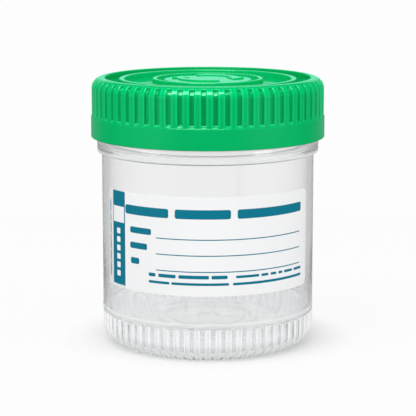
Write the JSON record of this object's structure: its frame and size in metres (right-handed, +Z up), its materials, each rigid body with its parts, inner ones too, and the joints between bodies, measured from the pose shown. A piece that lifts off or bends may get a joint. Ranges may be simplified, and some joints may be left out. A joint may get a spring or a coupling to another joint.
{
  "type": "specimen container",
  "caption": "Clear round sample jar with a fluted foot, a ribbed green screw cap and a wrap-round label with ruled lines to write on.",
  "frame": {"origin": "centre of the jar's foot, on the surface that it stands on", "axes": "+Z up along the jar's axis, -Y towards the front of the label"},
  "size_m": [0.065, 0.065, 0.0745],
  "materials": {
    "clear_plastic": "clear, polished",
    "green_plastic": "glossy moulded",
    "label_film": "satin film with teal print"
  },
  "bodies": {
    "jar": {"jar": "clear_plastic", "label": "label_film"},
    "cap": {"screw_cap": "green_plastic"}
  },
  "joints": [
    {"name": "cap_lift", "type": "slide", "parent": "jar", "child": "cap", "axis": [0, 0, 1], "range_m": [0, 0.04]}
  ]
}
